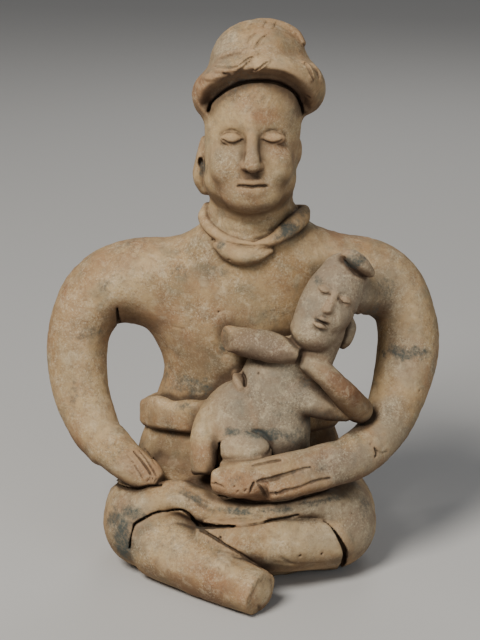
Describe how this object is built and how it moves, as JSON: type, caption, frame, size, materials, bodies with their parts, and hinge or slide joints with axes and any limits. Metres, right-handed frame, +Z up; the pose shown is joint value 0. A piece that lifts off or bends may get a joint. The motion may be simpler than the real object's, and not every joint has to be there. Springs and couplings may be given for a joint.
{
  "type": "seated maternity figure",
  "caption": "Hand-built fired clay figure of a seated mother in a wrapped headdress, legs crossed in front, holding a child on her lap; it stands on its flat underside.",
  "frame": {"origin": "on the flat underside, below the middle of the trunk", "axes": "+Z up to the headdress, -Y towards the viewer whom the figure faces, +X to the viewer's right"},
  "size_m": [0.1596, 0.1029, 0.2201],
  "materials": {
    "clay": "matt unglazed fired clay, smoothed by hand, with dark mineral stains"
  },
  "bodies": {
    "root": {"figure": "clay"}
  },
  "joints": []
}
